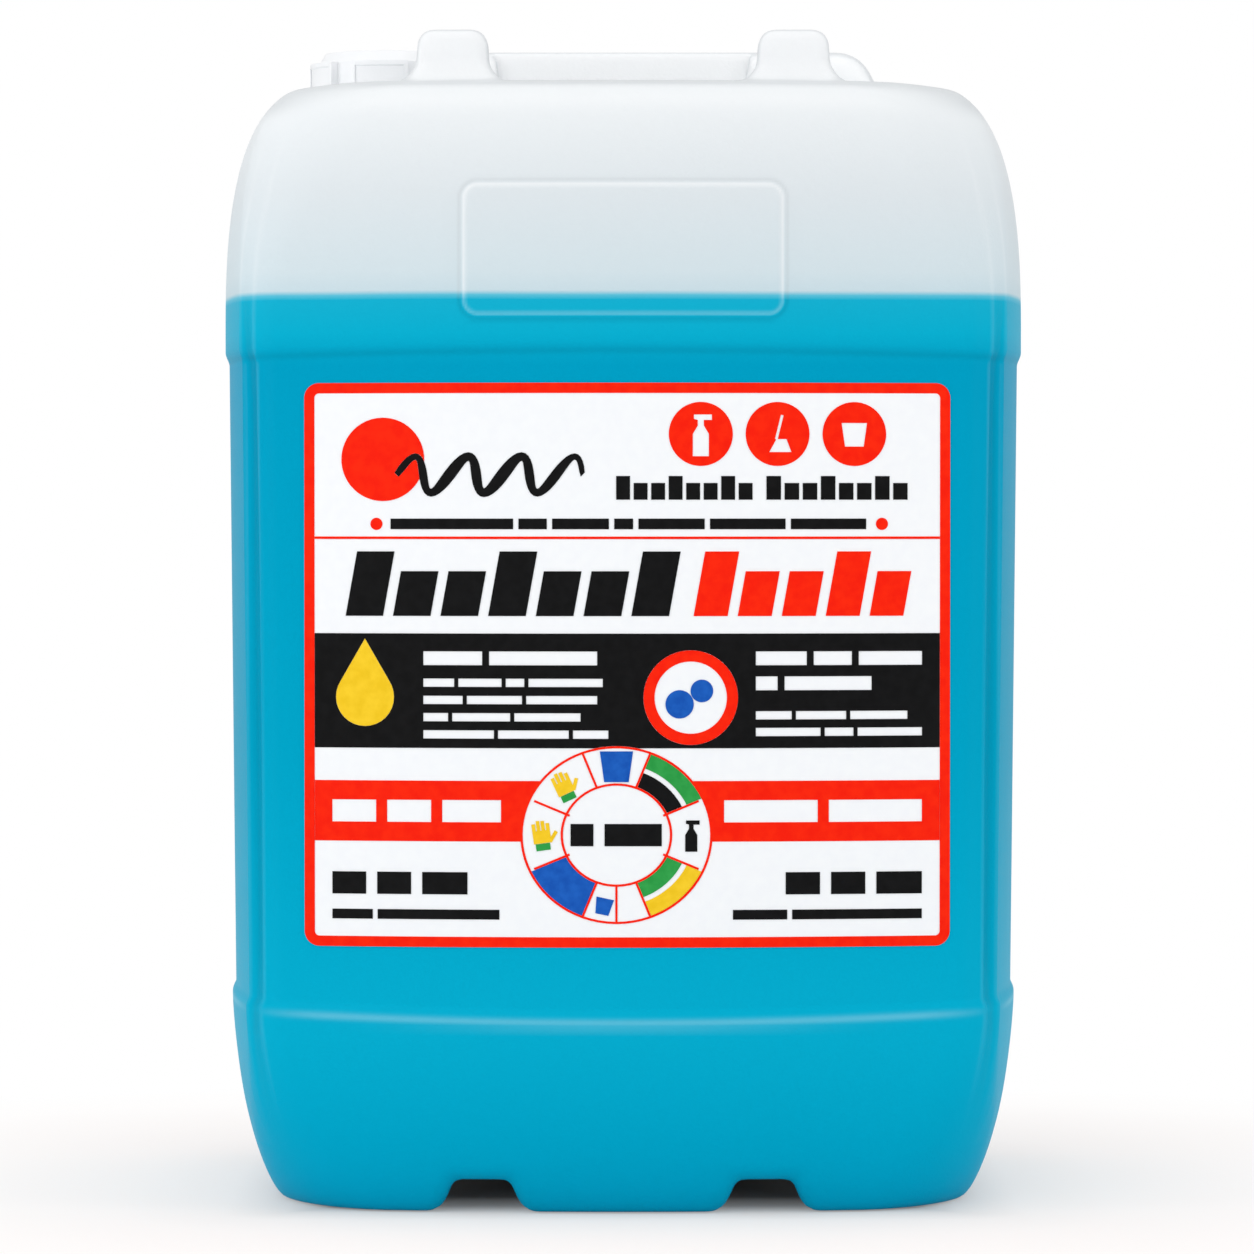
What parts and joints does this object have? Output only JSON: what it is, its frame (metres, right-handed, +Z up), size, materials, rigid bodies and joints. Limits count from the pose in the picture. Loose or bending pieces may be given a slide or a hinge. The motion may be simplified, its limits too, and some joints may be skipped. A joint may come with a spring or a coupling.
{
  "type": "stackable detergent can",
  "caption": "Rectangular stackable detergent can with a moulded grip handle, an off-centre screw cap, a recessed label zone and a blue liquid seen through the wall.",
  "frame": {"origin": "centre of the base, on the surface that the can stands on", "axes": "+Z up, -Y out of the front face with the label, -X towards the screw cap"},
  "size_m": [0.3008, 0.2577, 0.43],
  "materials": {
    "natural_wall": "natural translucent polyethylene, fine orange-peel texture, satin",
    "detergent": "clear blue liquid",
    "cap_plastic": "white moulded polyethylene, satin",
    "liner_foam": "soft foamed sealing disc",
    "label_film": "white printed film, semi-gloss",
    "ink_red": "printed colour, semi-gloss",
    "ink_black": "printed colour, semi-gloss",
    "ink_blue": "printed colour, semi-gloss",
    "ink_green": "printed colour, semi-gloss",
    "ink_yellow": "printed colour, semi-gloss"
  },
  "bodies": {
    "can_body": {"can": "natural_wall", "liquid": "detergent", "tamper_band": "cap_plastic", "label": "label_film", "print_red": "ink_red", "print_black": "ink_black", "print_blue": "ink_blue", "print_green": "ink_green", "print_yellow": "ink_yellow"},
    "liner": {"cap_liner": "liner_foam"},
    "cap": {"screw_cap": "cap_plastic"}
  },
  "joints": [
    {"name": "cap_lift", "type": "slide", "parent": "can_body", "child": "liner", "axis": [0, 0, 1], "range_m": [0, 0.0241]},
    {"name": "cap_turn", "type": "hinge", "parent": "liner", "child": "cap", "pos_m": [-0.0886, 0, 0.4], "axis": [0, 0, 1], "range_deg": [0, 1440]}
  ],
  "couplings": [
    {"joint": "cap_lift", "follows": "cap_turn", "m_per_rad": 0.00095493}
  ]
}
